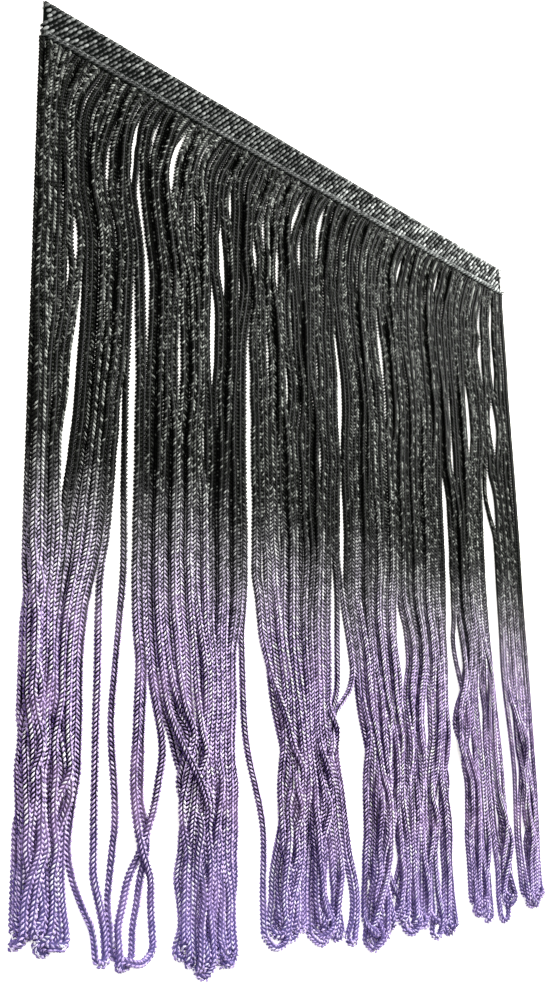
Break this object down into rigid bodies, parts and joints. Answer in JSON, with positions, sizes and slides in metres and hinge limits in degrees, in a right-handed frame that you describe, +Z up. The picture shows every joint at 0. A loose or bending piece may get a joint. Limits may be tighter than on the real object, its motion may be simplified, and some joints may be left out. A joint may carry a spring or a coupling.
{
  "type": "loop fringe trim",
  "caption": "Flat ribbed heading tape with a row of long looped chainette yarns rooted in its edge, laid out flat, to sew along a hem.",
  "frame": {"origin": "on the underside of the heading tape, midway along it and across the whole heading, at the surface that the trim lies on", "axes": "+Z up out of the trim's face; +Y from the loops' feet towards the tape's free edge; +X along the tape, to the right seen from above with the tape at the top"},
  "size_m": [0.2304, 0.2576, 0.0055],
  "materials": {
    "heading": "black braided viscose tape, soft sheen",
    "yarn": "chainette viscose yarn, dip-dyed from black to violet"
  },
  "bodies": {
    "root": {"heading_tape": "heading", "loop_fringe": "yarn"}
  },
  "joints": []
}
